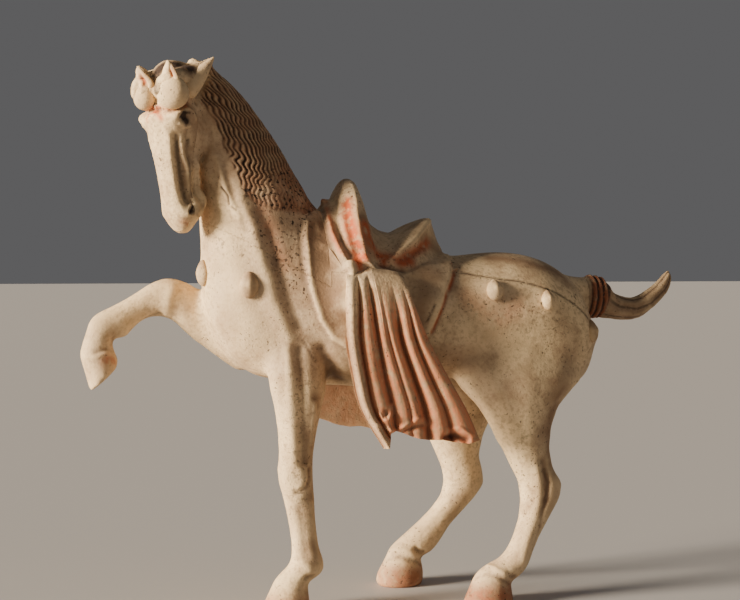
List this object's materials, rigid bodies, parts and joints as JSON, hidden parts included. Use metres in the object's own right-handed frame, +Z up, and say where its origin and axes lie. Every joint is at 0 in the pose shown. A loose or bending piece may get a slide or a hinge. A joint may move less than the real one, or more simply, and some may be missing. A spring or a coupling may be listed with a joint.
{
  "type": "pottery horse",
  "caption": "Fired pottery horse figure with a raised foreleg and turned head, saddle, draped pleated cloths, combed mane and bound tail; stands on its hooves.",
  "frame": {"origin": "on the ground under the middle of the whole figure's box", "axes": "+Z up; the horse faces -X, so +X runs from its head to its tail; its left side is -Y"},
  "size_m": [0.7486, 0.1912, 0.6424],
  "materials": {
    "painted_pottery": "matt cream slip over buff earthenware, with worn red and brown pigment"
  },
  "bodies": {
    "root": {"horse": "painted_pottery"}
  },
  "joints": []
}
